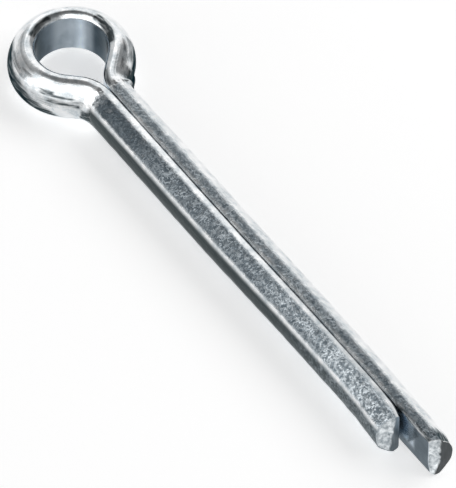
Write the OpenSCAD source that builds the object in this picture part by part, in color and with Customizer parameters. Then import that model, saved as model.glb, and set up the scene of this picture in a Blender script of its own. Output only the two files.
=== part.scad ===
// Cotter pin: one length of half-round wire, folded flat side inwards into an eye and two legs.
// The legs are squeezed between dies, which press three slightly crowned facets on each.
// X runs from the eye to the tips, Y across the split, Z along the hole of the eye.
// The origin is the middle of the eye's hole.

/* [Shank] */
// Diameter of the closed shank, over the ridges between its facets
shank_d = 5.68; // [4.8:0.02:6.4]
// Gap between the flat faces of the two legs
leg_gap = 0.06; // [0.02:0.02:0.3]
// Crown radius of the facets that the dies press along the legs
facet_crown_r = 5.5; // [3.6:0.1:20]

/* [Eye] */
// Radius of the hole in the eye
eye_r = 3.75; // [3.4:0.05:4.6]
// Thickness of the wire round the eye, from its flat face to its crown
eye_wire_r = 2.88; // [2.4:0.02:3.2]
// Rounding of the wire's two edges beside its flat face
wire_edge_r = 0.72; // [0.4:0.02:0.9]

/* [Neck] */
// Slope of the neck on the short leg's side, from the line of the shank
short_neck_angle = 47; // [44:1:52]
// Slope of the neck on the long leg's side, from the line of the shank
long_neck_angle = 44.5; // [43.5:0.5:52]
// Radius of the hollow bend between the neck and the short leg
short_bend_r = 1.6; // [0.4:0.1:1.8]
// Radius of the hollow bend between the neck and the long leg
long_bend_r = 0.6; // [0.4:0.1:1.8]

/* [Legs] */
// Reach of the short leg, from the middle of the eye
short_reach = 57.8; // [30:0.2:110]
// How much further the long leg reaches
long_extra = 4.8; // [2.8:0.1:10]

/* [Tips] */
// Length over which the short leg's flat face runs out at its tip
runout_length = 2.3; // [1:0.1:4]
// Depth of that run-out
runout_depth = 0.5; // [0.2:0.05:0.9]
// Width of the smooth land that the shear leaves on the short leg
short_land = 0.75; // [0.3:0.05:1]
// Width of the torn face on the long leg, beside its flat face
long_tear = 1; // [0.4:0.05:1.4]
// Slope of the torn face on the short leg, from square across the leg
short_tear_angle = 22; // [10:1:40]
// Slope of the torn face on the long leg, from square across the leg
long_tear_angle = 32; // [20:1:50]
// Slope back of the smooth land on the long leg, from square across the leg
long_land_angle = 4; // [0:1:20]

/* [Hidden] */
$fn = 96;
shank_r = shank_d / 2;
half_gap = leg_gap / 2;
// Each half of the eye runs this many degrees past the crown, into the other half.
crown_lap = 5;
// Each leg starts this far back, inside its neck bend.
leg_lap = 0.1;
// The dies leave a six-sided shank: each leg carries three facets, and ridges 60 degrees apart.
facet_pitch = 60;
facet_offset = sqrt(pow(facet_crown_r, 2) - pow(shank_r * sin(facet_pitch / 2), 2))
    - shank_r * cos(facet_pitch / 2);

// Thickness of a leg's half of the shank, out to the middle of its outer facet.
leg_depth = facet_crown_r - facet_offset;

// Middle of the circle that a facet's crown belongs to; turn is measured from Z towards the outside.
function facet_centre(turn) = -facet_offset * [sin(turn), cos(turn)];

// Middle of an edge rounding that touches both the flat face and a round face.
function edge_centre(flat_x, round_centre, round_r) = [
    flat_x + wire_edge_r,
    round_centre[1] + sqrt(pow(round_r - wire_edge_r, 2) - pow(flat_x + wire_edge_r - round_centre[0], 2))
];

// What is taken off the two sharp edges, between the flat face and a round face, to round them.
module edge_waste(flat_x, round_centre, round_r) {
    centre = edge_centre(flat_x, round_centre, round_r);
    past_round = round_centre + (centre - round_centre) * (round_r + wire_edge_r) / (round_r - wire_edge_r);
    before_flat = flat_x - wire_edge_r;
    module upper_waste() {
        difference() {
            polygon([centre, [before_flat, centre[1]], [before_flat, past_round[1]], past_round]);
            translate(centre) circle(wire_edge_r);
        }
    }
    upper_waste();
    mirror([0, 1]) upper_waste();
}

// Half-round section of the wire: flat face on Y = 0, round side towards +X.
module wire_section() {
    difference() {
        circle(eye_wire_r);
        translate([-2 * eye_wire_r, -eye_wire_r]) square([2 * eye_wire_r, 2 * eye_wire_r]);
        edge_waste(0, [0, 0], eye_wire_r);
    }
}

// Section of a leg: half of the six-sided shank, whose axis is at the origin.
module leg_section() {
    difference() {
        intersection_for (turn = [30, 90, 150]) translate(facet_centre(turn)) circle(facet_crown_r);
        translate([half_gap - 2 * facet_crown_r, -facet_crown_r]) square(2 * facet_crown_r);
        edge_waste(half_gap, facet_centre(30), facet_crown_r);
    }
}

// Turns a flat section so that it stands across the X axis, and draws it out along that axis.
module drawn_along_x(length) {
    rotate([90, 0, 90]) linear_extrude(length) children();
}

// Where the line of a neck's flat face crosses the flat face of its leg.
function neck_corner_x(angle) = (eye_r - half_gap * cos(angle)) / sin(angle);

// Radius of a neck bend at the flat face, which is on its outside.
function bend_flat_r(bend_r) = bend_r + eye_wire_r;

// Distance from a neck's corner to either end of its bend.
function bend_tangent(angle, bend_r) = bend_flat_r(bend_r) * tan(angle / 2);

function leg_start_x(angle, bend_r) = neck_corner_x(angle) + bend_tangent(angle, bend_r);

// Half of the eye, neck and leg on the +Y side, to an uncut tip. The neck lies along X in its own frame.
module half_pin(angle, bend_r, reach) {
    start_x = leg_start_x(angle, bend_r);
    neck_length = norm([neck_corner_x(angle) - eye_r * sin(angle), half_gap - eye_r * cos(angle)])
        - bend_tangent(angle, bend_r);
    rotate(-angle) {
        rotate_extrude(start = 90, angle = 90 + angle + crown_lap) translate([eye_r, 0]) wire_section();
        translate([0, eye_r]) drawn_along_x(neck_length) wire_section();
        translate([neck_length, eye_r + bend_flat_r(bend_r)])
            rotate_extrude(start = 270, angle = angle)
                translate([bend_flat_r(bend_r), 0]) mirror([1, 0]) wire_section();
    }
    translate([start_x - leg_lap, 0]) drawn_along_x(reach - start_x + leg_lap) leg_section();
}

// Waste beyond a sheared tip: everything past an outline drawn from the flat face outwards.
module tip_waste(outline, reach) {
    last = outline[len(outline) - 1];
    past = reach + shank_r;
    translate([0, 0, -shank_d]) linear_extrude(2 * shank_d)
        polygon(concat([[past, -half_gap], [outline[0][0], -half_gap]], outline, [[past, last[1]]]));
}

// Run-out, then the smooth land of the shear, then the torn face out to the ridges.
module short_tip_waste() {
    torn_from = runout_depth + short_land;
    tip_waste([
        [short_reach - runout_length, half_gap],
        [short_reach, runout_depth],
        [short_reach, torn_from],
        [short_reach - (shank_r - torn_from) * tan(short_tear_angle), shank_r]
    ], short_reach);
}

// Torn face beside the flat face, then the smooth land of the shear, sloping back to the outside.
module long_tip_waste() {
    reach = short_reach + long_extra;
    tip_waste([
        [reach - long_tear * tan(long_tear_angle), half_gap],
        [reach, long_tear],
        [reach - (shank_r - long_tear) * tan(long_land_angle), shank_r]
    ], reach);
}

module cotter_pin() {
    color("silver")
    difference() {
        union() {
            half_pin(long_neck_angle, long_bend_r, short_reach + long_extra);
            mirror([0, 1, 0]) half_pin(short_neck_angle, short_bend_r, short_reach);
        }
        long_tip_waste();
        mirror([0, 1, 0]) short_tip_waste();
    }
}

cotter_pin();
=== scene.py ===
import math

import bpy
from mathutils import Matrix, Vector, kdtree, noise


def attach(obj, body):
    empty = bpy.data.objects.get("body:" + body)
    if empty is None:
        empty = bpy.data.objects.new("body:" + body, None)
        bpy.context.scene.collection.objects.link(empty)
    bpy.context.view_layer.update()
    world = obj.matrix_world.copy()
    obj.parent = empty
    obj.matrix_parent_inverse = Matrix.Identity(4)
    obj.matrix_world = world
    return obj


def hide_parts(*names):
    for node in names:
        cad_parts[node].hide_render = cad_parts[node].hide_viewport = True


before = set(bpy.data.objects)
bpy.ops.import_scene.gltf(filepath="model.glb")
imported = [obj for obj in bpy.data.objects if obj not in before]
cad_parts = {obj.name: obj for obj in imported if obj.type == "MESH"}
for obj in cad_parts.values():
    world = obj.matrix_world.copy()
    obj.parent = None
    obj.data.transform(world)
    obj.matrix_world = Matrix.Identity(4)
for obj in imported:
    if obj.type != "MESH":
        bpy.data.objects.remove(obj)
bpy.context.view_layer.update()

# ---------------------------------------------------------------------------
# The wire. Mild steel, drawn to a half-round section with eased edges, and folded
# flat side inwards round a mandrel into an eye and two legs. It is one length, so it is
# swept here in one go, from the long leg's tip round the eye to the short leg's tip.
# ---------------------------------------------------------------------------

MM = 0.001
# All sizes are in mm, in the frame's own axes, with the eye's hole at the origin: the hole's
# radius, half the gap between the legs' flat faces, and how far out each tip lies.
EYE_R = 3.75
HALF_GAP = 0.03
LONG_REACH = 62.6
SHORT_REACH = 57.8
# The wire's thickness, from its flat face to its crown.
WIRE_R = 2.88
# Its edges: a tight corner beside the flat face, for so many degrees, and a wide rounding up to
# WIRE_TOP. The shoulder beyond is fuller than a true circle, up to a turn in degrees from up.
WIRE_CORNER_R, WIRE_CORNER_DEG = 0.2, 30
WIRE_EDGE_R, WIRE_TOP = 0.95, 2.74
SHOULDER_TURN, SHOULDER_PULL = 50, 0.62
# Each neck's slope in degrees, the radius of its hollow bend, and how many rings it has.
LONG_NECK = {"angle": 44.5, "bend_r": 0.6, "rings": 10}
SHORT_NECK = {"angle": 47.0, "bend_r": 1.6, "rings": 6}

# How many faces go round each stretch of the section, and how far apart the rings lie.
FLAT_FACES = 16
EDGE_FACES = 9
CORNER_FACES = 2
ROUND_FACES = 56
RING_FACES = FLAT_FACES + ROUND_FACES + 2 * EDGE_FACES
CAP_RINGS, BEND_RINGS = 16, 16
EYE_STEP_DEG = 2.5
LEG_STEP = 1.6
LEG_CUTS = 9


def section_points(edge, first_turn, round_point):
    """Half-round section as (out, up) points, from the middle of the flat face upwards and round.

    edge is the upper edge's rounding, from the flat face on; the round side starts at first_turn,
    in degrees from up, and round_point gives its point at a turn.
    """
    upper = [(0.0, edge[0][1] * i / (FLAT_FACES / 2)) for i in range(FLAT_FACES // 2)] + edge
    side = [
        round_point(first_turn + (180 - 2 * first_turn) * i / ROUND_FACES) for i in range(ROUND_FACES + 1)
    ]
    lower = [(out, -up) for out, up in reversed(upper[1:])]
    return upper + side + lower


# The shoulder is one curve from the top of the edge's rounding to where the true circle starts.
corner_a = math.radians(WIRE_CORNER_DEG)
edge_top_out = WIRE_CORNER_R + (WIRE_EDGE_R - WIRE_CORNER_R) * math.cos(corner_a)
edge_top_turn = math.degrees(math.atan2(edge_top_out, WIRE_TOP))
shoulder_a = math.radians(SHOULDER_TURN)
shoulder_end = (WIRE_R * math.sin(shoulder_a), WIRE_R * math.cos(shoulder_a))
shoulder_run = (WIRE_TOP - shoulder_end[1]) / math.sin(shoulder_a)
shoulder_corner = shoulder_end[0] - shoulder_run * math.cos(shoulder_a)
shoulder = (
    (edge_top_out, WIRE_TOP),
    (edge_top_out + SHOULDER_PULL * (shoulder_corner - edge_top_out), WIRE_TOP),
    (shoulder_end[0] - SHOULDER_PULL * shoulder_run * math.cos(shoulder_a),
     shoulder_end[1] + SHOULDER_PULL * shoulder_run * math.sin(shoulder_a)),
    shoulder_end,
)


def wire_edge():
    """The wire's upper edge: a tight corner beside the flat face, and a wide rounding after it."""
    step = WIRE_EDGE_R - WIRE_CORNER_R
    corner_up = WIRE_TOP - WIRE_EDGE_R + step * math.sin(corner_a)
    points = []
    for i in range(CORNER_FACES):
        t = corner_a * i / CORNER_FACES
        points.append((WIRE_CORNER_R * (1 - math.cos(t)), corner_up + WIRE_CORNER_R * math.sin(t)))
    wide_faces = EDGE_FACES - CORNER_FACES
    for i in range(wide_faces):
        t = corner_a + (math.pi / 2 - corner_a) * i / wide_faces
        out, up = edge_top_out - WIRE_EDGE_R * math.cos(t), WIRE_TOP - WIRE_EDGE_R * (1 - math.sin(t))
        points.append((out, up))
    return points


def wire_point(turn):
    """The round side's point at a turn in degrees from up."""
    near = min(turn, 180 - turn)
    if near >= SHOULDER_TURN:
        out, up = WIRE_R * math.sin(math.radians(near)), WIRE_R * math.cos(math.radians(near))
    else:
        t = (near - edge_top_turn) / (SHOULDER_TURN - edge_top_turn)
        out, up = (
            a * (1 - t) ** 3 + 3 * b * t * (1 - t) ** 2 + 3 * c * t**2 * (1 - t) + d * t**3
            for a, b, c, d in zip(*shoulder)
        )
    return (out, up if turn <= 90 else -up)


WIRE_SECTION = section_points(wire_edge(), edge_top_turn, wire_point)

# The wire starts as the innermost ring of the long tip's end face. The end faces' rings close in
# on a point this far out from the flat side.
CAP_MIDDLE_OUT = 1.25
bpy.ops.object.select_all(action="DESELECT")
bpy.ops.mesh.primitive_circle_add(vertices=RING_FACES, radius=WIRE_R * MM)
pin = bpy.context.object
pin.name = "folded_pin"
for vertex, (out, up) in zip(pin.data.vertices, WIRE_SECTION):
    shrink = 1 / CAP_RINGS
    out = CAP_MIDDLE_OUT + (out - CAP_MIDDLE_OUT) * shrink
    vertex.co = Vector((LONG_REACH, HALF_GAP + out, up * shrink)) * MM


def corner_x(neck):
    """Where the neck's flat face would meet the leg's, if there were no bend between them."""
    a = math.radians(neck["angle"])
    return (EYE_R - HALF_GAP * math.cos(a)) / math.sin(a)


def bend_run(neck):
    """How far the bend reaches from that corner, along the leg and along the neck."""
    return (neck["bend_r"] + WIRE_R) * math.tan(math.radians(neck["angle"]) / 2)


def neck_run(neck):
    """Length of the straight neck, between its bend and the eye."""
    a = math.radians(neck["angle"])
    side = (corner_x(neck) - EYE_R * math.sin(a), HALF_GAP - EYE_R * math.cos(a))
    return math.hypot(*side) - bend_run(neck)


# Each ring's stretch of the wire, and its distance along the wire in mm.
rings = [("long_cap", 0.0)]


def draw_on(stretch, length, steps, heading):
    """Draws the wire on in a straight line."""
    value = Vector(heading).normalized() * (length / steps * MM)
    for _ in range(steps):
        bpy.ops.mesh.extrude_region_move(TRANSFORM_OT_translate={"value": value})
        rings.append((stretch, rings[-1][1] + length / steps))


def bend_on(stretch, degrees, steps, centre, middle_r):
    """Bends the wire on round an upright axis."""
    bpy.ops.mesh.spin(
        steps=steps, angle=math.radians(-degrees), center=Vector(centre) * MM, axis=(0, 0, 1)
    )
    for _ in range(steps):
        rings.append((stretch, rings[-1][1] + math.radians(abs(degrees)) * middle_r / steps))


def widen_cap(factor, x, y):
    """Makes the next ring of a tip's end face, wider or narrower than the last."""
    bpy.ops.mesh.extrude_region_move(TRANSFORM_OT_translate={"value": (0, 0, 0)})
    bpy.ops.transform.resize(value=(1, factor, factor), center_override=Vector((x, y, 0)) * MM)


bpy.ops.object.mode_set(mode="EDIT")
bpy.ops.mesh.select_mode(type="VERT")
bpy.ops.mesh.select_all(action="SELECT")
for i in range(1, CAP_RINGS):
    widen_cap((i + 1) / i, LONG_REACH, HALF_GAP + CAP_MIDDLE_OUT)
    rings.append(("long_cap", 0.0))

long_start = corner_x(LONG_NECK) + bend_run(LONG_NECK)
short_start = corner_x(SHORT_NECK) + bend_run(SHORT_NECK)
long_a = math.radians(LONG_NECK["angle"])
short_a = math.radians(SHORT_NECK["angle"])
long_length = LONG_REACH - long_start
short_length = SHORT_REACH - short_start
eye_sweep = 180 + LONG_NECK["angle"] + SHORT_NECK["angle"]

draw_on("long_leg", long_length, round(long_length / LEG_STEP), (-1, 0, 0))
bend_on("long_bend", -LONG_NECK["angle"], BEND_RINGS,
        (long_start, HALF_GAP + LONG_NECK["bend_r"] + WIRE_R, 0), LONG_NECK["bend_r"] + WIRE_R / 2)
draw_on("long_neck", neck_run(LONG_NECK), LONG_NECK["rings"], (-math.cos(long_a), math.sin(long_a), 0))
bend_on("eye", eye_sweep, round(eye_sweep / EYE_STEP_DEG), (0, 0, 0), EYE_R + WIRE_R / 2)
draw_on("short_neck", neck_run(SHORT_NECK), SHORT_NECK["rings"], (math.cos(short_a), math.sin(short_a), 0))
bend_on("short_bend", -SHORT_NECK["angle"], BEND_RINGS,
        (short_start, -HALF_GAP - SHORT_NECK["bend_r"] - WIRE_R, 0), SHORT_NECK["bend_r"] + WIRE_R / 2)
draw_on("short_leg", short_length, round(short_length / LEG_STEP), (1, 0, 0))
for i in range(1, CAP_RINGS):
    widen_cap((CAP_RINGS - i) / (CAP_RINGS - i + 1), SHORT_REACH, -HALF_GAP - CAP_MIDDLE_OUT)
    rings.append(("short_cap", rings[-1][1]))

# The long edges of the legs are cut up finely, so that the pressing can be shaped into them.
bpy.ops.mesh.select_mode(type="EDGE")
bpy.ops.mesh.select_all(action="DESELECT")
bpy.ops.object.mode_set(mode="OBJECT")
for edge in pin.data.edges:
    one, other = (pin.data.vertices[i].co for i in edge.vertices)
    edge.select = abs(one.x - other.x) > LEG_STEP / 2 * MM
bpy.ops.object.mode_set(mode="EDIT")
bpy.ops.mesh.subdivide(number_cuts=LEG_CUTS)
bpy.ops.object.mode_set(mode="OBJECT")

# ---------------------------------------------------------------------------
# The shaping. Forming dies press three crowned facets on each leg, the mandrel thins the
# wire over the crown of the eye, and a shear crops both tips from the long leg's side.
# ---------------------------------------------------------------------------

LONG, SHORT = 1, -1
REACH = {LONG: LONG_REACH, SHORT: SHORT_REACH}

# The pressed leg's section: half the thickness over the ridges, the rounding of the inner edges,
# and the bevels that the dies have flattened on them, which meet in a shallow groove. A bevel
# starts beside the flat face and ends at a turn in degrees from up.
SHANK_R = 2.81
LEG_EDGE_R = 0.42
BEVEL_START, BEVEL_TURN, BEVEL_FACES = 2.41, 21, 4
# Each facet: its middle and half width as turns in degrees from up, and its crown's radius in mm.
FACETS = ((42, 18, 7.0), (90, 30, 5.5), (138, 18, 7.0))
# The ridges between them lie at the first turn, and are eased over so many degrees each way.
RIDGE_TURN, RIDGE_EASE_DEG = 60, 6
# The dies bite from the first distance on, and to their full depth from the second.
PRESS_START, PRESS_FULL = 6.1, 7.4


def facet_radius(turn):
    """Distance from the shank's axis to its surface, at a turn in degrees from up."""
    for middle, half, crown_r in FACETS:
        if abs(turn - middle) < half:
            h = math.radians(half)
            offset = math.sqrt(crown_r**2 - (SHANK_R * math.sin(h)) ** 2) - SHANK_R * math.cos(h)
            a = math.radians(turn - middle)
            return -offset * math.cos(a) + math.sqrt(crown_r**2 - (offset * math.sin(a)) ** 2)
    return SHANK_R


def pressed_point(turn):
    """A point on the pressed leg, with the ridges between its facets eased."""
    spread = [turn + RIDGE_EASE_DEG * k / 4 for k in range(-4, 5)]
    r = sum(facet_radius(t) for t in spread) / len(spread)
    a = math.radians(turn)
    return (r * math.sin(a) - HALF_GAP, r * math.cos(a))


# The bevelled edge: its rounding ends where the surface has the bevel's slope, and the bevel
# runs straight from there to the facet.
bevel_top = pressed_point(BEVEL_TURN)
bevel_slope = math.atan2(bevel_top[1] - BEVEL_START, bevel_top[0])
foot_out = LEG_EDGE_R * (1 - math.sin(bevel_slope))
bevel_foot = (foot_out, BEVEL_START + foot_out * math.tan(bevel_slope))
edge_centre_up = BEVEL_START - foot_out / math.cos(bevel_slope)
edge_turn = math.pi / 2 - bevel_slope
bevel_edge = []
for i in range(EDGE_FACES - BEVEL_FACES):
    t = -math.pi / 2 + edge_turn * i / (EDGE_FACES - BEVEL_FACES)
    bevel_edge.append((LEG_EDGE_R * (1 + math.sin(t)), edge_centre_up + LEG_EDGE_R * math.cos(t)))
for i in range(BEVEL_FACES):
    share = i / BEVEL_FACES
    bevel_edge.append(tuple(foot + (top - foot) * share for foot, top in zip(bevel_foot, bevel_top)))
PRESSED_SECTION = section_points(bevel_edge, BEVEL_TURN, pressed_point)


def fade(value, start, end):
    """0 up to the start, 1 from the end on, and smooth between; the end may be the lower one."""
    share = min(max((value - start) / (end - start), 0.0), 1.0)
    return share * share * (3 - 2 * share)


def swell(knots, x):
    """Smooth value between the knots, which are pairs of a place and its value."""
    if x <= knots[0][0]:
        return knots[0][1]
    for (x0, y0), (x1, y1) in zip(knots, knots[1:]):
        if x <= x1:
            return y0 + (y1 - y0) * fade(x, x0, x1)
    return knots[-1][1]


# The wire round the eye: its mean thickness, and how much thicker it is left towards the legs
# than over the crown, on the short leg's side, and on the eye's two sides.
MEAN_THICKNESS, NECK_GAIN, SHORT_SIDE_GAIN, SIDES_GAIN = 2.75, 0.123, 0.075, 0.041


def wire_thickness(turn):
    """Thickness of the wire round the eye, at a turn in degrees from the line of the legs."""
    a = math.radians(turn)
    gain = NECK_GAIN * math.cos(a) - SHORT_SIDE_GAIN * math.sin(a) - SIDES_GAIN * math.cos(2 * a)
    return MEAN_THICKNESS + gain


NECK_THICKNESS = {
    LONG: wire_thickness(90 - LONG_NECK["angle"]),
    SHORT: wire_thickness(SHORT_NECK["angle"] - 90),
}

# The long tip is torn beside its flat face and smoothly sheared beyond. The torn part narrows
# between two heights.
LONG_TEAR, TEAR_NARROWING, NARROW_FROM, NARROW_TO = 1.0, 0.6, -0.7, -2.4
LONG_TEAR_SLOPE = math.tan(math.radians(32))
LONG_LAND_SLOPE = math.tan(math.radians(4))
# Its outer edge is rolled over by the shear's upper blade, over this length of the leg.
TIP_ROLL, ROLL_LENGTH = 0.11, 1.8
# The short tip's flat face runs out first; then come a smooth land, narrower at the top, and the
# torn part.
RUNOUT_LENGTH, RUNOUT_DEPTH, RUNOUT_WIDTH = 2.3, 0.5, 1.6
SHORT_LAND, LAND_LEAN = 0.75, 0.14
SHORT_TEAR_SLOPE = math.tan(math.radians(22))
# The torn parts: how rough they are, and how blurred their border is.
TEAR_ROUGHNESS, TEAR_BORDER = 0.16, 0.16
# The slope of the tips fades out into the legs over this length.
TIP_ZONE = 4.0


def long_tear(up):
    """Width of the torn part of the long tip."""
    return LONG_TEAR - TEAR_NARROWING * fade(up, NARROW_FROM, NARROW_TO)


def past_land(out, up):
    """How far a point of the short tip lies beyond its smooth land."""
    return out - RUNOUT_DEPTH - SHORT_LAND + LAND_LEAN * up


def tip_x(out, up, side):
    """How far out a tip's end face lies: its sheared and torn parts have slopes of their own."""
    if side == SHORT:
        return SHORT_REACH - max(0.0, past_land(out, up)) * SHORT_TEAR_SLOPE
    tear = long_tear(up)
    if out < tear:
        return LONG_REACH - (tear - out) * LONG_TEAR_SLOPE
    return LONG_REACH - (out - tear) * LONG_LAND_SLOPE


def torn_share(out, up, side):
    """1 where a tip's end face is torn and 0 where it is smoothly sheared."""
    past = long_tear(up) - out if side == LONG else past_land(out, up)
    return fade(past, -TEAR_BORDER / 2, TEAR_BORDER / 2)


def rolled(out, up, x):
    """The long tip's outer edge, rolled over."""
    turn = math.degrees(math.atan2(out, up))
    roll = TIP_ROLL * fade(x, LONG_REACH - ROLL_LENGTH, LONG_REACH) ** 2
    roll *= fade(turn, 14, 36) * fade(turn, 96, 56)
    return out * (1 - roll), up * (1 - roll)


def run_out(out, near_tip):
    """The short tip's flat face, run out; near_tip is 0 where that starts and 1 at the tip."""
    if out < RUNOUT_WIDTH:
        out += RUNOUT_DEPTH * near_tip**2 * (1 - out / RUNOUT_WIDTH) ** 2
    return out


# How far the outer side of each leg lies from true, in mm, at a distance from the eye in mm:
# the legs came out of the dies a little full in the middle, and the shear has dragged the tips.
SWELL = {
    LONG: ((8, 0.03), (20, 0.13), (30, 0.12), (46, 0.08), (53, 0.03), (58, 0.03), (60.5, -0.09),
           (62.6, -0.05)),
    SHORT: ((10, 0.06), (26, 0.12), (34, 0.08), (42, 0.06), (50, 0.04), (53, 0.1), (56, 0.23),
            (57.8, 0.28)),
}
# How far the dies have closed the gap at each leg's inner edges, in mm.
EDGE_CLOSED = ((9, 0.0), (12, 0.022), (16, 0.018), (24, 0.008), (33, 0.008), (40, 0.016), (46, 0.025),
               (53, 0.025), (55.6, 0.0))
# How far both legs together lean towards the long leg's side, in mm.
LEAN = ((28, 0.0), (42, 0.13), (52, 0.13), (58, 0.0))

# The dies' shallow dents, about 0.5 to 1.5 mm long, and how the ridges waver, both in mm of depth.
DIE_DENTS, RIDGE_WAVER = 0.025, 0.02


def pressed_share(x, index):
    """How far the dies have pressed the wire, from 0 at the neck to 1; the start is uneven."""
    ragged = 0.5 * noise.noise((index * 0.3, 0.0, 7.0)) + 0.3 * noise.noise((index * 0.9, 0.0, 2.0))
    ragged *= fade(PRESSED_SECTION[index][0], 0.6, 1.6)
    return fade(x - ragged, PRESS_START, PRESS_FULL)


def die_dent(x, out, up, side):
    """Depth of the dies' dents at a point of a leg."""
    broad = noise.noise((x * 0.75, out * 1.1, up * 1.1))
    fine = noise.noise((x * 2.1, out * 2.4, up * 2.4))
    turn = math.degrees(math.atan2(out, up))
    off_ridge = abs(abs(turn - 90) - (90 - RIDGE_TURN))
    waver = RIDGE_WAVER * noise.noise((x * 0.9, turn / 14, side * 7.0)) * fade(off_ridge, 19.6, 5.6)
    return DIE_DENTS * (broad + 0.4 * fine) + waver


def shaped_leg(x, index, side):
    """Place of a leg's point."""
    pressed = pressed_share(x, index)
    thin = NECK_THICKNESS[side] / WIRE_R
    wire = (WIRE_SECTION[index][0] * thin, WIRE_SECTION[index][1])
    out, up = (w + (p - w) * pressed for w, p in zip(wire, PRESSED_SECTION[index]))
    out += swell(SWELL[side], x) * fade(out, 0, SHANK_R)
    dent = die_dent(x, out, up, side) * fade(out, 0, 0.8) * pressed
    out, up = out - dent * out / SHANK_R, up - dent * up / SHANK_R
    out -= swell(EDGE_CLOSED, x) * fade(abs(up), 1.0, 2.2) * fade(out, 1.2, 0)
    if side == LONG:
        out, up = rolled(out, up, x)
    else:
        out = run_out(out, max(0.0, (x - SHORT_REACH + RUNOUT_LENGTH) / RUNOUT_LENGTH))
    near_tip = max(0.0, (x - REACH[side] + TIP_ZONE) / TIP_ZONE)
    lean = swell(LEAN, x)
    x -= (REACH[side] - tip_x(out, up, side)) * near_tip**2
    return Vector((x, side * (HALF_GAP + out) + lean, up)) * MM


def cap_place(factor, index, side):
    """Out and up of a point on a tip's end face; factor is 0 in its middle and 1 at its rim."""
    out, up = PRESSED_SECTION[index]
    out += swell(SWELL[side], REACH[side]) * fade(out, 0, SHANK_R)
    if side == LONG:
        out, up = rolled(out, up, LONG_REACH)
    else:
        out = run_out(out, 1.0)
    return CAP_MIDDLE_OUT + (out - CAP_MIDDLE_OUT) * factor, up * factor


def shaped_cap(factor, index, side):
    """Place of a point on a tip's end face, with the torn part left rough up to near its rim."""
    out, up = cap_place(factor, index, side)
    crumbs = noise.noise((out * 2.6, up * 1.5, side * 5.0))
    crumbs += 0.4 * noise.noise((out * 5.3, up * 4.1, side * 9.0))
    rough = max(0.0, 0.6 + crumbs) * torn_share(out, up, side) * fade(factor, 1, 0.8)
    x = tip_x(out, up, side) - TEAR_ROUGHNESS * rough
    return Vector((x, side * (HALF_GAP + out), up)) * MM


# A point less than this out from the flat face, in mm, is on it.
ON_FLAT = 0.001

# Tool marks on the eye, by distance in mm from the middle of its crown (towards the short leg is
# positive) and turn in degrees from up: the line each follows, its half width in degrees, its
# depth in mm (a ridge is negative) and how dull it is.
TOOL_MARKS = (
    # the mandrel's rub along the inside of the crown
    (((-10.6, 6), (-9.2, 8)), 11.0, 0.0, 1.5),
    (((-9.2, 10), (-6.2, 14)), 13.0, 0.0, 1.0),
    (((-5.0, 15), (-0.5, 14)), 4.5, 0.0, 0.2),
    (((0.0, 11), (3.4, 10)), 9.5, 0.0, 0.95),
    # ridges and scuffs on the short leg's side
    (((3.6, 29), (8.6, 29)), 4.0, 0.01, 0.3),
    (((5.6, 47), (7.3, 46)), 5.0, 0.01, 0.5),
    (((7.9, 41), (8.8, 40)), 4.5, 0.012, 0.65),
    (((6.4, 56), (9.3, 56)), 3.5, -0.03, 0.0),
    (((4.4, 21), (7.6, 21)), 3.0, -0.015, 0.0),
    (((9.6, 76), (11.6, 80)), 7.0, 0.01, 0.4),
    # scratches beside the short leg's neck
    (((10.3, 51), (11.4, 52)), 4.5, 0.012, 0.85),
    (((10.5, 57), (13.4, 60)), 4.0, 0.015, 1.0),
    (((11.4, 70), (14.3, 75)), 6.0, 0.015, 0.95),
    (((13.3, 64), (14.8, 66)), 5.0, 0.01, 0.6),
    (((9.8, 64), (14.8, 67)), 24.0, 0.0, 0.3),
    # where the tool held both necks: a nip in the short one and a bulge in the long one, each painted dark
    # as shade
    (((14.9, 97), (18.6, 92)), 22.0, 0.03, 1.0),
    (((12.9, 96), (14.3, 98)), 9.0, -0.03, 0.0),
    (((-15.9, 76), (-13.6, 80)), 40.0, -0.27, 0.0),
    (((-15.3, 80), (-13.7, 86)), 46.0, 0.0, 1.5),
    # scuffs on the long leg's side
    (((-15.2, 23), (-12.0, 22)), 2.6, 0.015, 0.4),
    (((-11.6, 36), (-10.6, 36)), 6.0, 0.01, 0.65),
    (((-13.9, 38), (-12.9, 37)), 6.0, 0.01, 0.65),
    (((-12.2, 58), (-10.2, 54)), 14.0, 0.0, 0.62),
    (((-14.1, 57), (-13.6, 57)), 11.0, 0.02, 0.8),
    (((-16.4, 5), (-14.9, 5)), 9.0, 0.0, 0.65),
)
# How far past its ends a mark fades out, and the eye's own shallow dents, both in mm.
MARK_END_FADE, EYE_DENTS = 0.5, 0.012
# The eye's outer side is painted darker beyond these turns, as shade for the shadowed table that it
# mirrors, by distance from the middle of its crown.
PAINTED_SHADE_BEYOND = ((-15.6, 66), (-14.6, 60), (-14.0, 66), (-11.0, 63), (-9.0, 76), (-6.0, 120), (1.5, 120),
               (3.2, 62), (5.0, 51), (6.0, 54), (7.0, 60), (8.0, 64), (9.0, 70), (10.0, 82), (11.0, 93),
               (12.5, 120))
# How light the flat side is painted round the eye: its brightest streak is a painted reflection of the lit
# table in the hole, and its dark stretches are painted shade.
FLAT_PAINTED_LIGHT = ((-13.0, 1.0), (-10.0, 0.1), (-6.8, 0.02), (-5.6, 0.4), (-4.4, 1.0), (-3.2, 0.6),
              (-1.5, 0.42), (0.5, 0.1), (3.0, 0.0), (6.5, 0.2), (9.0, 1.0))

# How far along the wire the eye starts, and the middle of its crown lies.
eye_start = max(along for stretch, along in rings if stretch == "long_neck")
crown_along = eye_start + math.radians(90 + LONG_NECK["angle"]) * (EYE_R + WIRE_R / 2)


def mark_strength(line, half_width, crown, turn):
    """1 on a mark's line, falling to 0 at its sides and just past its ends."""
    (c0, t0), (c1, t1) = line
    along = (crown - c0) / (c1 - c0)
    off = turn - (t0 + (t1 - t0) * min(max(along, 0.0), 1.0))
    past = max(c0 - crown, crown - c1, 0.0)
    return fade(abs(off), half_width, half_width / 3) * fade(past, MARK_END_FADE, 0)


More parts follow.
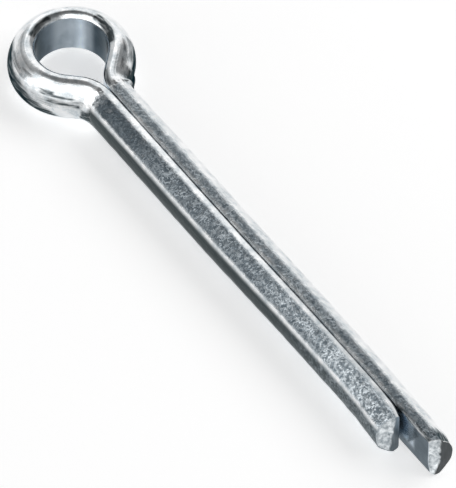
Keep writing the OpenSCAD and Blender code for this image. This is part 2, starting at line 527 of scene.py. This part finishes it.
def worn_eye(along, index):
    """Depth of the dents in the eye and its necks, in mm, and how dark they are painted: dull where tools
    rubbed, and painted shade on the outer side, the necks and the flat side.
    """
    out, up = WIRE_SECTION[index]
    turn = math.degrees(math.atan2(out, up))
    crown = along - crown_along
    if out < ON_FLAT:
        return 0.0, 1 - swell(FLAT_PAINTED_LIGHT, crown)
    grain = noise.noise((crown * 0.9, turn / 14, 3.0))
    depth, eye_darkening = EYE_DENTS * grain, 0.0
    for line, half_width, mark_depth, mark_darkening in TOOL_MARKS:
        strength = mark_strength(line, half_width, crown + 0.25 * grain, turn)
        depth += mark_depth * strength
        eye_darkening = max(eye_darkening, mark_darkening * strength)
    # Beyond its turn, the eye's outer side gets painted shade.
    shade_beyond = fade(turn - swell(PAINTED_SHADE_BEYOND, crown) + 3 * grain, -8, 8)
    off_flat = fade(out, 0, 0.2)
    return depth * off_flat, max(eye_darkening, shade_beyond * fade(turn, 128, 108)) * off_flat


def facet_mask(index, first, last, softness=6):
    """1 between two turns in degrees from up on the pressed section, and 0 off them; each end is
    blurred over softness degrees."""
    out, up = PRESSED_SECTION[index]
    if out < ON_FLAT:
        return 0.0
    turn = math.degrees(math.atan2(out + HALF_GAP, up))
    turn = min(turn, 180 - turn)
    blur = softness / 2
    return fade(turn, first - blur, first + blur) * fade(turn, last + blur, last - blur)


# Where the long leg is pitted: along its bevels, and barely on its sloping facets.
long_pitted = []
for index in range(RING_FACES):
    bevel_pits = facet_mask(index, 7, 99, 12) * facet_mask(index, -15, 24.5, 26)
    long_pitted.append(max(bevel_pits, 0.05 * facet_mask(index, 24, 56)))
# Where the short leg's pits start, and over how many degrees, by distance from the eye.
SHORT_PITS_START = ((14, 19), (30, 18), (38, 17), (46, 15.5))
SHORT_PITS_SOFT = ((14, 16), (30, 10), (40, 10))
# How far the short leg's outer facet carries pits, and how far both legs' are streaked and painted dark as
# shade.
short_side = [facet_mask(index, 66, 120, 8) for index in range(RING_FACES)]
streaked_shade_mask = [facet_mask(index, 66.5, 120, 15) for index in range(RING_FACES)]
# How far the short leg's pits are rubbed bright, by distance from the eye.
PIT_RUB = ((6, 0.05), (12, 0.14), (20, 0.42), (30, 0.52), (42, 0.88), (50, 1.55), (57, 1.4))
# How much less the sloping facet is rubbed beside its ridge than beside the bevel.
RIDGE_RUB_LOSS = ((18, 0.0), (28, 0.25), (36, 0.45), (45, 0.55), (51, 0.2))
# How much painted shade the long leg's flat side has, by distance from the eye: it is painted brighter by
# the short leg's tip, where it shows above the middle, and painted dark as shade below it.
LONG_FLAT_SHADE = ((10, 0.3), (50, 0.2), (57.5, 0.0), (59.0, 0.0), (59.9, 0.85), (62.6, 0.85))

# Each vertex's place on the wire before it was folded, as (along, out, up) in mm, and how far it is
# pitted, streaked, dull, torn or rubbed bright; the streaking and dulling also carry painted shade, and on
# the flats painted light.
vertices = pin.data.vertices
wire_end = rings[-1][1]
drawn_places = [None] * len(vertices)
pitting = [0.0] * len(vertices)
streaking_and_shade = [0.0] * len(vertices)
dulling_and_shade = [0.0] * len(vertices)
tearing = [0.0] * len(vertices)
rubbing = [0.12] * len(vertices)


def leg_pits(x, index, side):
    """How far the dies have pitted a leg's section at x."""
    if side == LONG:
        return long_pitted[index]
    start = facet_mask(index, swell(SHORT_PITS_START, x), 99, swell(SHORT_PITS_SOFT, x))
    return start * facet_mask(index, -9, 57, 9) * (0.5 + 0.5 * fade(x, 6.5, 8.9))


def flat_shade_share(x, up, side):
    """How much painted shade a leg's flat side has; both flats are painted lighter by the short leg's tip.
    """
    if side == SHORT:
        return 0.3 * fade(x, 56, 50)
    return max(swell(LONG_FLAT_SHADE, x), 0.85 * fade(up, -0.5, -1.5) * fade(x, 52, 56))


def note_short(number, x, index):
    """Notes the part of a vertex's finish that only the short leg has."""
    pitting[number] = max(pitting[number], 0.45 * short_side[index] * fade(x, 30, 54))
    loss = max(swell(RIDGE_RUB_LOSS, x) * facet_mask(index, 42, 75), 0.7 * short_side[index],
               0.32 * fade(x, 38, 48) * facet_mask(index, 0, 29, 8))
    rubbing[number] = swell(PIT_RUB, x) * (1 - loss)
    dulling_and_shade[number] = 0.3 * fade(x, 32, 46) * facet_mask(index, 4, 26, 10)


def note_long(number, x, index):
    """Notes the part of a vertex's finish that only the long leg has."""
    rubbing[number] = 0.5 - 0.16 * fade(x, 40, 52)
    inner_edge = (0.32 + 0.6 * fade(x, 53, 58)) * facet_mask(index, 0, 9)
    reach = 2.2 - 0.7 * facet_mask(index, 45, 99, 24) + 0.5 * noise.noise((index * 0.3, x, 1.0))
    by_tip = fade(x + reach, LONG_REACH, LONG_REACH + 1.2) * facet_mask(index, 10, 80, 20)
    dulling_and_shade[number] = inner_edge + by_tip


def note_leg(number, x, index, side):
    """Notes the place and the finish of a leg's vertex."""
    out, up = PRESSED_SECTION[index]
    pressed = pressed_share(x, index)
    along = LONG_REACH - x if side == LONG else wire_end - (SHORT_REACH - x)
    drawn_places[number] = (along, out, up)
    pitting[number] = leg_pits(x, index, side) * pressed
    streaking_and_shade[number] = streaked_shade_mask[index] * pressed
    if side == LONG:
        note_long(number, x, index)
    else:
        note_short(number, x, index)
    # A flat face's colour is painted shade and light.
    if out < ON_FLAT:
        dulling_and_shade[number] = flat_shade_share(x, up, side)


# Each ring has its flat face's middle first, and the middle of its round side at this index.
MIDDLE_OF_ROUND = FLAT_FACES // 2 + EDGE_FACES + ROUND_FACES // 2
for ring, (stretch, along) in enumerate(rings):
    first = ring * RING_FACES
    side = LONG if stretch.startswith("long") else SHORT
    flat = vertices[first].co.copy()
    outwards = (vertices[first + MIDDLE_OF_ROUND].co - flat).normalized()
    x = flat.x / MM
    thickness = NECK_THICKNESS[side]
    if stretch == "eye":
        thickness = wire_thickness(math.degrees(math.atan2(outwards.y, outwards.x)))
    for index in range(RING_FACES):
        number = first + index
        if stretch.endswith("leg"):
            note_leg(number, x, index, side)
            vertices[number].co = shaped_leg(x, index, side)
        elif stretch.endswith("cap"):
            factor = (ring + 1 if side == LONG else len(rings) - ring) / CAP_RINGS
            out, up = cap_place(factor, index, side)
            drawn_places[number] = (along, out, up)
            tearing[number] = torn_share(out + 0.12 * noise.noise((up * 1.7, out, 4.0)), up, side)
            vertices[number].co = shaped_cap(factor, index, side)
        else:
            wire_out, wire_up = WIRE_SECTION[index]
            drawn_places[number] = (along, wire_out, wire_up)
            pressed = pressed_share(x, index)
            pitting[number] = leg_pits(x, index, side) * pressed
            streaking_and_shade[number] = streaked_shade_mask[index] * pressed
            depth, dulling_and_shade[number] = worn_eye(along, index)
            turn = math.atan2(wire_out, wire_up)
            thinned = wire_out * thickness / WIRE_R
            wire = (thinned - depth * math.sin(turn), wire_up - depth * math.cos(turn))
            out, up = (w + (p - w) * pressed for w, p in zip(wire, PRESSED_SECTION[index]))
            vertices[number].co = flat + (outwards * out + Vector((0, 0, up))) * MM

# The cuts between the legs' rings are shaped too, each by the nearest point of the section.
section_finder = kdtree.KDTree(RING_FACES)
for index, (out, up) in enumerate(WIRE_SECTION):
    section_finder.insert((out, up, 0), index)
section_finder.balance()
for number in range(len(rings) * RING_FACES, len(vertices)):
    x, y, up = vertices[number].co / MM
    side = LONG if y > 0 else SHORT
    index = section_finder.find((abs(y) - HALF_GAP, up, 0))[1]
    note_leg(number, x, index, side)
    vertices[number].co = shaped_leg(x, index, side)

# The two holes left in the middle of the tips are closed, and only sharper corners stay crisp.
CRISP_CORNER_DEG = 35
bpy.ops.object.mode_set(mode="EDIT")
bpy.ops.mesh.select_mode(type="EDGE")
bpy.ops.mesh.select_all(action="DESELECT")
bpy.ops.mesh.select_non_manifold()
bpy.ops.mesh.edge_face_add()
bpy.ops.mesh.select_all(action="SELECT")
bpy.ops.mesh.normals_make_consistent(inside=False)
bpy.ops.object.mode_set(mode="OBJECT")
bpy.ops.object.shade_smooth_by_angle(angle=math.radians(CRISP_CORNER_DEG))

# ---------------------------------------------------------------------------
# The finish. Bright zinc plate over the drawn and pressed steel: it is smooth and blotchy round the eye,
# and the dies have left the legs' facets pitted and their outer sides streaked. Painted shade darkens the
# legs' outer sides, the eye's outer side, its necks, its bore and the flats by the tips, and painted light
# brightens the bore's streak and the flats by the short tip.
# ---------------------------------------------------------------------------


def linear(code):
    """The linear colour of an sRGB hex value."""
    out = []
    for i in (1, 3, 5):
        c = int(code[i:i + 2], 16) / 255
        out.append(c / 12.92 if c <= 0.04045 else ((c + 0.055) / 1.055) ** 2.4)
    return (*out, 1.0)


def add_node(tree, kind, inputs=None, **settings):
    """Adds one node, with its own settings, and its inputs' values or the sockets that feed them."""
    new = tree.nodes.new(kind)
    for name, value in settings.items():
        setattr(new, name, value)
    for name, value in (inputs or {}).items():
        if isinstance(value, bpy.types.NodeSocket):
            tree.links.new(value, new.inputs[name])
        else:
            new.inputs[name].default_value = value
    return new


# What the materials read at each vertex: its place on the wire before folding, in metres, and its finish,
# including the painted shade in its streaks and dulling.
finish_notes = {
    "pitting": pitting, "streaking_and_shade": streaking_and_shade, "dulling_and_shade": dulling_and_shade, "tearing": tearing, "rubbing": rubbing,
}
notes = pin.data.attributes
notes.new("drawn_place", "FLOAT_VECTOR", "POINT")
for name in finish_notes:
    notes.new(name, "FLOAT", "POINT")
notes["drawn_place"].data.foreach_set("vector", [c * MM for place in drawn_places for c in place])
for name, values in finish_notes.items():
    notes[name].data.foreach_set("value", values)

# Barrel zinc plate: a bluish satin mirror, so the eye sees the tent's lights and darks in it, blurred, and
# greyed where the dies and the mandrel have rubbed it. Some shade and light that it would mirror is
# painted into its colour instead.
zinc = bpy.data.materials.new("bright_zinc_plated_steel")
zinc.use_nodes = True
tree = zinc.node_tree
tree.nodes.clear()
place = add_node(tree, "ShaderNodeTexCoord").outputs["Object"]
drawn = add_node(tree, "ShaderNodeAttribute", attribute_name="drawn_place").outputs["Vector"]
# The streaking and dulling notes carry painted shade as well as streaks and wear.
pitted, streaked_and_shaded, dulled_and_shaded, rub = (
    add_node(tree, "ShaderNodeAttribute", attribute_name=name).outputs["Fac"]
    for name in ("pitting", "streaking_and_shade", "dulling_and_shade", "rubbing")
)

# Die pits: winding low walls about 0.5 mm apart, whose tops are rubbed bright in patches of about
# 2.4 mm, and rubbed spots 0.4 mm apart between them. Zinc's own grain is far finer than these
# spots, which are drawn coarser so that they show.
pits = add_node(tree, "ShaderNodeTexNoise", {
    "Vector": place, "Scale": 1550.0, "Detail": 2.0, "Roughness": 0.6, "Distortion": 0.3})
off_middle = add_node(tree, "ShaderNodeMath", {0: pits.outputs["Fac"], 1: 0.5}, operation="SUBTRACT")
wall = add_node(tree, "ShaderNodeMath", {0: off_middle.outputs[0]}, operation="ABSOLUTE")
wall_top = add_node(tree, "ShaderNodeMapRange", {
    "Value": wall.outputs[0], "From Max": 0.06, "To Min": 1.0, "To Max": 0.0},
    interpolation_type="SMOOTHSTEP")
patches = add_node(tree, "ShaderNodeTexNoise", {"Vector": place, "Scale": 420.0, "Detail": 1.0})
patchy = add_node(tree, "ShaderNodeMapRange", {
    "Value": patches.outputs["Fac"], "From Min": 0.42, "From Max": 0.62, "To Min": 0.1},
    interpolation_type="SMOOTHSTEP")
rubbed_walls = add_node(tree, "ShaderNodeMath", {
    0: wall_top.outputs["Result"], 1: patchy.outputs["Result"]}, operation="MULTIPLY")
grains = add_node(tree, "ShaderNodeTexNoise", {
    "Vector": place, "Scale": 2700.0, "Detail": 2.0, "Roughness": 0.65})
grainy = add_node(tree, "ShaderNodeMapRange", {
    "Value": grains.outputs["Fac"], "From Min": 0.45, "From Max": 0.62, "To Max": 0.7})
rubbed_spots = add_node(tree, "ShaderNodeMath", {
    0: rubbed_walls.outputs[0], 1: grainy.outputs["Result"]}, operation="MAXIMUM")
rubbed = add_node(tree, "ShaderNodeMath", {0: rubbed_spots.outputs[0], 1: rub}, operation="MULTIPLY")
pit_floor = add_node(tree, "ShaderNodeMix", {
    "Factor": rub, "A": linear("#485259"), "B": linear("#7d8890")}, data_type="RGBA")
pitted_colour = add_node(tree, "ShaderNodeMix", {
    "Factor": rubbed.outputs[0], "A": pit_floor.outputs["Result"], "B": linear("#e8f0f5")},
    data_type="RGBA")

# The pitted bands fade out raggedly.
rag = add_node(tree, "ShaderNodeMath", {0: pits.outputs["Fac"], 1: grains.outputs["Fac"]}, operation="ADD")
frayed = add_node(tree, "ShaderNodeMath", {0: rag.outputs[0], 1: pitted}, operation="ADD")
ragged_pits = add_node(tree, "ShaderNodeMapRange", {
    "Value": frayed.outputs[0], "From Min": 1.1, "From Max": 1.85})
near_pits = add_node(tree, "ShaderNodeMath", {0: pitted, 1: 3.0}, operation="MULTIPLY", use_clamp=True)
pitted = add_node(tree, "ShaderNodeMath", {
    0: ragged_pits.outputs["Result"], 1: near_pits.outputs[0]}, operation="MULTIPLY").outputs[0]

# Drawing streaks: lines along the wire, 0.15 mm apart and 40 times as long. Real ones are finer, and these
# are drawn coarser so that they show. Both of their colours are dark, as painted shade for the shadowed
# table that the outer sides mirror.
stretched = add_node(tree, "ShaderNodeMapping", {"Vector": drawn, "Scale": (160.0, 6500.0, 6500.0)})
lines = add_node(tree, "ShaderNodeTexNoise", {
    "Vector": stretched.outputs["Vector"], "Scale": 1.0, "Detail": 2.0})
streaked_shade_colour = add_node(tree, "ShaderNodeMix", {
    "Factor": lines.outputs["Fac"], "A": linear("#2f3638"), "B": linear("#565e60")}, data_type="RGBA")

# The plate on the eye is cloudy in blotches of about 1.4 mm.
blotches = add_node(tree, "ShaderNodeTexNoise", {
    "Vector": place, "Scale": 700.0, "Detail": 4.0, "Roughness": 0.68})
blotchy = add_node(tree, "ShaderNodeMapRange", {
    "Value": blotches.outputs["Fac"], "From Min": 0.3, "From Max": 0.7})
smooth_colour = add_node(tree, "ShaderNodeMix", {
    "Factor": blotchy.outputs["Result"], "A": linear("#b6bfc4"), "B": linear("#ffffff")},
    data_type="RGBA")

# The flat side is painted blue grey: dark as shade, and light where it stands for the lit table that it
# mirrors, with lighter clouds of about 4 mm. It counts as flat up to 0.005 mm out.
out_from_flat = add_node(tree, "ShaderNodeSeparateXYZ", {"Vector": drawn}).outputs["Y"]
on_flat = add_node(tree, "ShaderNodeMapRange", {
    "Value": out_from_flat, "From Min": 0.0000005, "From Max": 0.000005, "To Min": 1.0, "To Max": 0.0},
    interpolation_type="SMOOTHSTEP")
clouds = add_node(tree, "ShaderNodeTexNoise", {"Vector": drawn, "Scale": 260.0, "Detail": 3.0})
cloudy = add_node(tree, "ShaderNodeMapRange", {
    "Value": clouds.outputs["Fac"], "From Min": 0.4, "From Max": 0.66}, interpolation_type="SMOOTHSTEP")
flat_painted_light, flat_painted_shade = (
    add_node(tree, "ShaderNodeMix", {
        "Factor": cloudy.outputs["Result"], "A": linear(dark), "B": linear(light)}, data_type="RGBA")
    for dark, light in (("#c4d1dc", "#e2ecf4"), ("#3c4850", "#525f69"))
)
flat_colour = add_node(tree, "ShaderNodeMix", {
    "Factor": dulled_and_shaded, "A": flat_painted_light.outputs["Result"], "B": flat_painted_shade.outputs["Result"]},
    data_type="RGBA")

# Where the tools have rubbed the plate dull, and where shade is painted on the eye's outer side and its
# necks, it is darkened in wiped strokes 1.4 mm long and 0.25 mm apart.
dull_and_shade_colour = add_node(tree, "ShaderNodeMix", {
    "Factor": blotches.outputs["Fac"], "A": linear("#31373a"), "B": linear("#5c6467")}, data_type="RGBA")
wiped = add_node(tree, "ShaderNodeMapping", {"Vector": drawn, "Scale": (700.0, 4200.0, 4200.0)})
wipes = add_node(tree, "ShaderNodeTexNoise", {
    "Vector": wiped.outputs["Vector"], "Scale": 1.0, "Detail": 3.0, "Roughness": 0.6})
broken = add_node(tree, "ShaderNodeMapRange", {
    "Value": wipes.outputs["Fac"], "From Min": 0.4, "From Max": 0.6, "To Min": 0.62, "To Max": 1.3})
dull_and_shade_lines = add_node(tree, "ShaderNodeMath", {
    0: dulled_and_shaded, 1: broken.outputs["Result"]}, operation="MULTIPLY", use_clamp=True)

# The finishes and the painted shade lie over each other, from the plain plate up to the pits.
colour = smooth_colour
for share, finish in (
    (dull_and_shade_lines.outputs[0], dull_and_shade_colour),
    (on_flat.outputs["Result"], flat_colour),
    (streaked_and_shaded, streaked_shade_colour),
    (pitted, pitted_colour),
):
    colour = add_node(tree, "ShaderNodeMix", {
        "Factor": share, "A": colour.outputs["Result"], "B": finish.outputs["Result"]}, data_type="RGBA")

# The pitted faces mirror less sharply. The grain, the streaks and the pits' walls stand 0.02 to
# 0.04 mm proud.
roughness = add_node(tree, "ShaderNodeMapRange", {"Value": pitted, "To Min": 0.2, "To Max": 0.36})
plate_bump = add_node(tree, "ShaderNodeBump", {
    "Height": grains.outputs["Fac"], "Strength": 0.3, "Distance": 0.00004})
line_bump = add_node(tree, "ShaderNodeBump", {
    "Height": lines.outputs["Fac"], "Strength": 0.5, "Distance": 0.00002,
    "Normal": plate_bump.outputs["Normal"]})
pit_height = add_node(tree, "ShaderNodeMath", {
    0: wall_top.outputs["Result"], 1: pitted}, operation="MULTIPLY")
pit_bump = add_node(tree, "ShaderNodeBump", {
    "Height": pit_height.outputs[0], "Strength": 0.8, "Distance": 0.00004,
    "Normal": line_bump.outputs["Normal"]})

# Worn plate, and plate painted dark as shade, also mirrors less at a glancing angle, though only half so
# on the flat side.
worn_share = add_node(tree, "ShaderNodeMapRange", {
    "Value": on_flat.outputs["Result"], "To Min": 1.0, "To Max": 0.5})
dull_and_shade_share = add_node(tree, "ShaderNodeMath", {
    0: dulled_and_shaded, 1: worn_share.outputs["Result"]}, operation="MULTIPLY")
half_streaked_shade = add_node(tree, "ShaderNodeMath", {0: streaked_and_shaded, 1: 0.45}, operation="MULTIPLY")
wear_and_shade = add_node(tree, "ShaderNodeMath", {
    0: dull_and_shade_share.outputs[0], 1: half_streaked_shade.outputs[0]}, operation="MAXIMUM")
edge_tint = add_node(tree, "ShaderNodeMix", {
    "Factor": wear_and_shade.outputs[0], "A": linear("#ffffff"), "B": linear("#868e90")}, data_type="RGBA")
shader = add_node(tree, "ShaderNodeBsdfPrincipled", {
    "Base Color": colour.outputs["Result"], "Specular Tint": edge_tint.outputs["Result"], "Metallic": 1.0,
    "Roughness": roughness.outputs["Result"], "Normal": pit_bump.outputs["Normal"]})
add_node(tree, "ShaderNodeOutputMaterial", {"Surface": shader.outputs["BSDF"]})
pin.data.materials.clear()
pin.data.materials.append(zinc)

# The cropped tips are bare steel: the torn part is bright and crumbly, and the part that the shear's blade
# slid over is burnished, with fine lines along the cut, and painted dark as shade.
bare = bpy.data.materials.new("sheared_bare_steel")
bare.use_nodes = True
tree = bare.node_tree
tree.nodes.clear()
place = add_node(tree, "ShaderNodeTexCoord").outputs["Object"]
torn = add_node(tree, "ShaderNodeAttribute", attribute_name="tearing").outputs["Fac"]

# The torn part's crumbs are about 0.5 mm across.
crumbs = add_node(tree, "ShaderNodeTexNoise", {
    "Vector": place, "Scale": 1900.0, "Detail": 3.0, "Roughness": 0.6})
crumb_top = add_node(tree, "ShaderNodeMapRange", {
    "Value": crumbs.outputs["Fac"], "From Min": 0.35, "From Max": 0.65})
torn_colour = add_node(tree, "ShaderNodeMix", {
    "Factor": crumb_top.outputs["Result"], "A": linear("#a2aaaf"), "B": linear("#eef2f4")},
    data_type="RGBA")

# The burnished part's fine lines are 0.2 mm apart. Its colour is painted shade: lighter at the top of the
# short tip, and darker all over on the long one.
squashed = add_node(tree, "ShaderNodeMapping", {"Vector": place, "Scale": (900.0, 5200.0, 700.0)})
blade_lines = add_node(tree, "ShaderNodeTexNoise", {
    "Vector": squashed.outputs["Vector"], "Scale": 1.0, "Detail": 2.0})
place_parts = add_node(tree, "ShaderNodeSeparateXYZ", {"Vector": place})
land_height = add_node(tree, "ShaderNodeMapRange", {
    "Value": place_parts.outputs["Z"], "From Min": -0.0016, "From Max": 0.0016})
land_low, land_high, long_land_painted_shade = (
    add_node(tree, "ShaderNodeMix", {
        "Factor": blade_lines.outputs["Fac"], "A": linear(dark), "B": linear(light)}, data_type="RGBA")
    for dark, light in (("#41494e", "#6a747b"), ("#707b83", "#a4afb7"), ("#25292b", "#494f52"))
)
short_land_painted_shade = add_node(tree, "ShaderNodeMix", {
    "Factor": land_height.outputs["Result"], "A": land_low.outputs["Result"],
    "B": land_high.outputs["Result"]}, data_type="RGBA")
on_long_leg = add_node(tree, "ShaderNodeMath", {
    0: place_parts.outputs["Y"], 1: 0.0}, operation="GREATER_THAN")
land_painted_colour = add_node(tree, "ShaderNodeMix", {
    "Factor": on_long_leg.outputs[0], "A": short_land_painted_shade.outputs["Result"],
    "B": long_land_painted_shade.outputs["Result"]}, data_type="RGBA")

cut_colour = add_node(tree, "ShaderNodeMix", {
    "Factor": torn, "A": land_painted_colour.outputs["Result"], "B": torn_colour.outputs["Result"]},
    data_type="RGBA")
cut_roughness = add_node(tree, "ShaderNodeMapRange", {"Value": torn, "To Min": 0.3, "To Max": 0.5})
crumb_height = add_node(tree, "ShaderNodeMath", {0: crumbs.outputs["Fac"], 1: torn}, operation="MULTIPLY")
crumb_bump = add_node(tree, "ShaderNodeBump", {
    "Height": crumb_height.outputs[0], "Strength": 0.9, "Distance": 0.0001})
blade_bump = add_node(tree, "ShaderNodeBump", {
    "Height": blade_lines.outputs["Fac"], "Strength": 0.4, "Distance": 0.00002,
    "Normal": crumb_bump.outputs["Normal"]})
shader = add_node(tree, "ShaderNodeBsdfPrincipled", {
    "Base Color": cut_colour.outputs["Result"], "Metallic": 1.0,
    "Roughness": cut_roughness.outputs["Result"], "Normal": blade_bump.outputs["Normal"]})
add_node(tree, "ShaderNodeOutputMaterial", {"Surface": shader.outputs["BSDF"]})
pin.data.materials.append(bare)

# Each end face lies between its tip's own rings, of which the outermost is the rim.
tip_rings = {*range(CAP_RINGS), *range(len(rings) - CAP_RINGS, len(rings))}
for face in pin.data.polygons:
    face.material_index = 1 if all(i // RING_FACES in tip_rings for i in face.vertices) else 0

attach(pin, "root")
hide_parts("cotter_pin")

# ---------------------------------------------------------------------------
# The studio: a table of matt white paper in a light tent whose softboxes the metal mirrors, one
# real soft light behind the pin for its shadow, and a camera that looks down from the front.
# ---------------------------------------------------------------------------

# The table's top lies just under the pin's lowest point. The table is TABLE_SIZE metres wide.
FLOOR_Z = -2.757
TABLE_SIZE = 4.0
bpy.ops.mesh.primitive_plane_add(size=TABLE_SIZE, location=(0.03, 0, FLOOR_Z * MM))
floor = bpy.context.object
floor.name = "table_top"

# Matt white paper: it looks plain white and still takes the pin's soft shadow, because only part
# of its white is its own glow.
PAPER_GLOW = 0.56
paper = bpy.data.materials.new("matt_white_paper")
paper.use_nodes = True
tree = paper.node_tree
tree.nodes.clear()
seen = add_node(tree, "ShaderNodeLightPath")
straight = add_node(tree, "ShaderNodeMath", {
    0: seen.outputs["Is Camera Ray"], 1: seen.outputs["Is Glossy Ray"]}, operation="ADD")
seen_by = add_node(tree, "ShaderNodeMath", {
    0: straight.outputs[0], 1: seen.outputs["Is Transmission Ray"]}, operation="ADD", use_clamp=True)
lift = add_node(tree, "ShaderNodeMath", {0: seen_by.outputs[0], 1: PAPER_GLOW}, operation="MULTIPLY")
glow = add_node(tree, "ShaderNodeEmission", {"Strength": lift.outputs[0]})
matt = add_node(tree, "ShaderNodeBsdfDiffuse", {"Color": linear("#f4f4f4")})
both = add_node(tree, "ShaderNodeAddShader", {0: matt.outputs["BSDF"], 1: glow.outputs["Emission"]})
add_node(tree, "ShaderNodeOutputMaterial", {"Surface": both.outputs["Shader"]})
floor.data.materials.append(paper)

# The tent is white to the camera, dim as a light on the paper, and in the metal it shows a grey
# cloth with softboxes behind it.
CLOTH_GLOW, DIM_GLOW, WHITE_GLOW = 0.17, 0.12, 1.0
world = bpy.data.worlds.new("light_tent")
bpy.context.scene.world = world
world.use_nodes = True
tree = world.node_tree
tree.nodes.clear()
seen = add_node(tree, "ShaderNodeLightPath")
way = add_node(tree, "ShaderNodeTexCoord").outputs["Generated"]
way_up = add_node(tree, "ShaderNodeSeparateXYZ", {"Vector": way}).outputs["Z"]
rise = add_node(tree, "ShaderNodeMath", {0: way_up}, operation="ARCSINE").outputs[0]


def softbox_seen(azimuth, elevation, half_width, half_height, softness, brightness):
    """How bright a soft-edged softbox looks, by direction; all angles in degrees."""
    turned = add_node(tree, "ShaderNodeVectorRotate", {
        "Vector": way, "Angle": math.radians(-azimuth)}, rotation_type="Z_AXIS")
    split = add_node(tree, "ShaderNodeSeparateXYZ", {"Vector": turned.outputs["Vector"]})
    sideways = add_node(tree, "ShaderNodeMath", {
        0: split.outputs["Y"], 1: split.outputs["X"]}, operation="ARCTAN2")
    across = add_node(tree, "ShaderNodeMath", {0: sideways.outputs[0]}, operation="ABSOLUTE")
    above = add_node(tree, "ShaderNodeMath", {0: rise, 1: math.radians(elevation)}, operation="SUBTRACT")
    off = add_node(tree, "ShaderNodeMath", {0: above.outputs[0]}, operation="ABSOLUTE")
    lit = brightness
    for value, half in ((across.outputs[0], half_width), (off.outputs[0], half_height)):
        edge = add_node(tree, "ShaderNodeMapRange", {
            "Value": value, "From Min": math.radians(half - softness),
            "From Max": math.radians(half + softness), "To Min": 1.0, "To Max": 0.0},
            interpolation_type="SMOOTHSTEP").outputs["Result"]
        lit = add_node(tree, "ShaderNodeMath", {0: edge, 1: lit}, operation="MULTIPLY").outputs[0]
    return lit


# Each softbox: its azimuth, elevation, half width, half height and soft edge in degrees, and how
# bright it looks.
tent = CLOTH_GLOW
for softbox in (
    (-64, 30, 54, 35, 8, 1.55),
    (136, 24, 32, 33, 6, 0.98),
    (92, 14, 13, 30, 8, 0.15),
    (180, 30, 22, 32, 9, 0.5),
    (-137, 28, 24, 34, 9, 0.22),
    (15, 20, 28, 26, 10, 0.3),
):
    lit = softbox_seen(*softbox)
    tent = add_node(tree, "ShaderNodeMath", {0: lit, 1: tent}, operation="ADD").outputs[0]
tent_glow, dim_glow, white_glow = (
    add_node(tree, "ShaderNodeBackground", {"Color": linear("#ffffff"), "Strength": strength})
    for strength in (tent, DIM_GLOW, WHITE_GLOW)
)
mirrored = add_node(tree, "ShaderNodeMixShader", {
    0: seen.outputs["Is Diffuse Ray"], 1: tent_glow.outputs["Background"],
    2: dim_glow.outputs["Background"]})
sky = add_node(tree, "ShaderNodeMixShader", {
    0: seen.outputs["Is Camera Ray"], 1: mirrored.outputs["Shader"], 2: white_glow.outputs["Background"]})
add_node(tree, "ShaderNodeOutputWorld", {"Surface": sky.outputs["Shader"]})

# The one real softbox faces the pin from behind, and the metal mirrors the tent's softboxes instead
# of it. Its angles are in degrees, its sizes in metres, and KEY_RADIANCE is how bright its face is.
PIN_MIDDLE = Vector((0.028, 0.0, 0.0))
KEY_AZIMUTH, KEY_ELEVATION, KEY_DISTANCE = 75, 46, 0.9
KEY_WIDTH, KEY_HEIGHT, KEY_RADIANCE = 1.0, 0.6, 1.75
a, e = math.radians(KEY_AZIMUTH), math.radians(KEY_ELEVATION)
towards = Vector((math.cos(e) * math.cos(a), math.cos(e) * math.sin(a), math.sin(e)))
bpy.ops.object.light_add(type="AREA", location=PIN_MIDDLE + towards * KEY_DISTANCE)
key = bpy.context.object
key.name = "back_softbox"
key.rotation_euler = towards.to_track_quat("Z", "Y").to_euler()
key.visible_glossy = False
key.data.shape = "RECTANGLE"
key.data.size = KEY_WIDTH
key.data.size_y = KEY_HEIGHT
key.data.energy = KEY_RADIANCE * math.pi * KEY_WIDTH * KEY_HEIGHT

# The view's angles in degrees, and its distance, its shift across and up, the lens and the sensor
# in mm. It is taken from a metre away through a long lens, so that the pin's edges stay parallel.
VIEW_AZIMUTH, VIEW_ELEVATION, VIEW_ROLL = 54.8, 50.3, 0.5
VIEW_DISTANCE = 1020
VIEW_CENTRE = (15.80, -18.46)
FOCAL_LENGTH, SENSOR_WIDTH = 797.2, 36
a, e, roll = (math.radians(v) for v in (VIEW_AZIMUTH, VIEW_ELEVATION, VIEW_ROLL))
back = Vector((math.sin(a) * math.cos(e), -math.cos(a) * math.cos(e), math.sin(e)))
level = Vector((math.cos(a), math.sin(a), 0))
rising = back.cross(level)
right = level * math.cos(roll) + rising * math.sin(roll)
upright = rising * math.cos(roll) - level * math.sin(roll)
bpy.ops.object.camera_add()
camera = bpy.context.object
camera.name = "studio_camera"
spot = right * VIEW_CENTRE[0] + upright * VIEW_CENTRE[1] + back * VIEW_DISTANCE
camera.matrix_world = Matrix.Translation(spot * MM) @ Matrix((right, upright, back)).transposed().to_4x4()
camera.data.sensor_fit = "HORIZONTAL"
camera.data.sensor_width = SENSOR_WIDTH
camera.data.lens = FOCAL_LENGTH
bpy.context.scene.camera = camera
bpy.context.scene.view_settings.view_transform = "Standard"
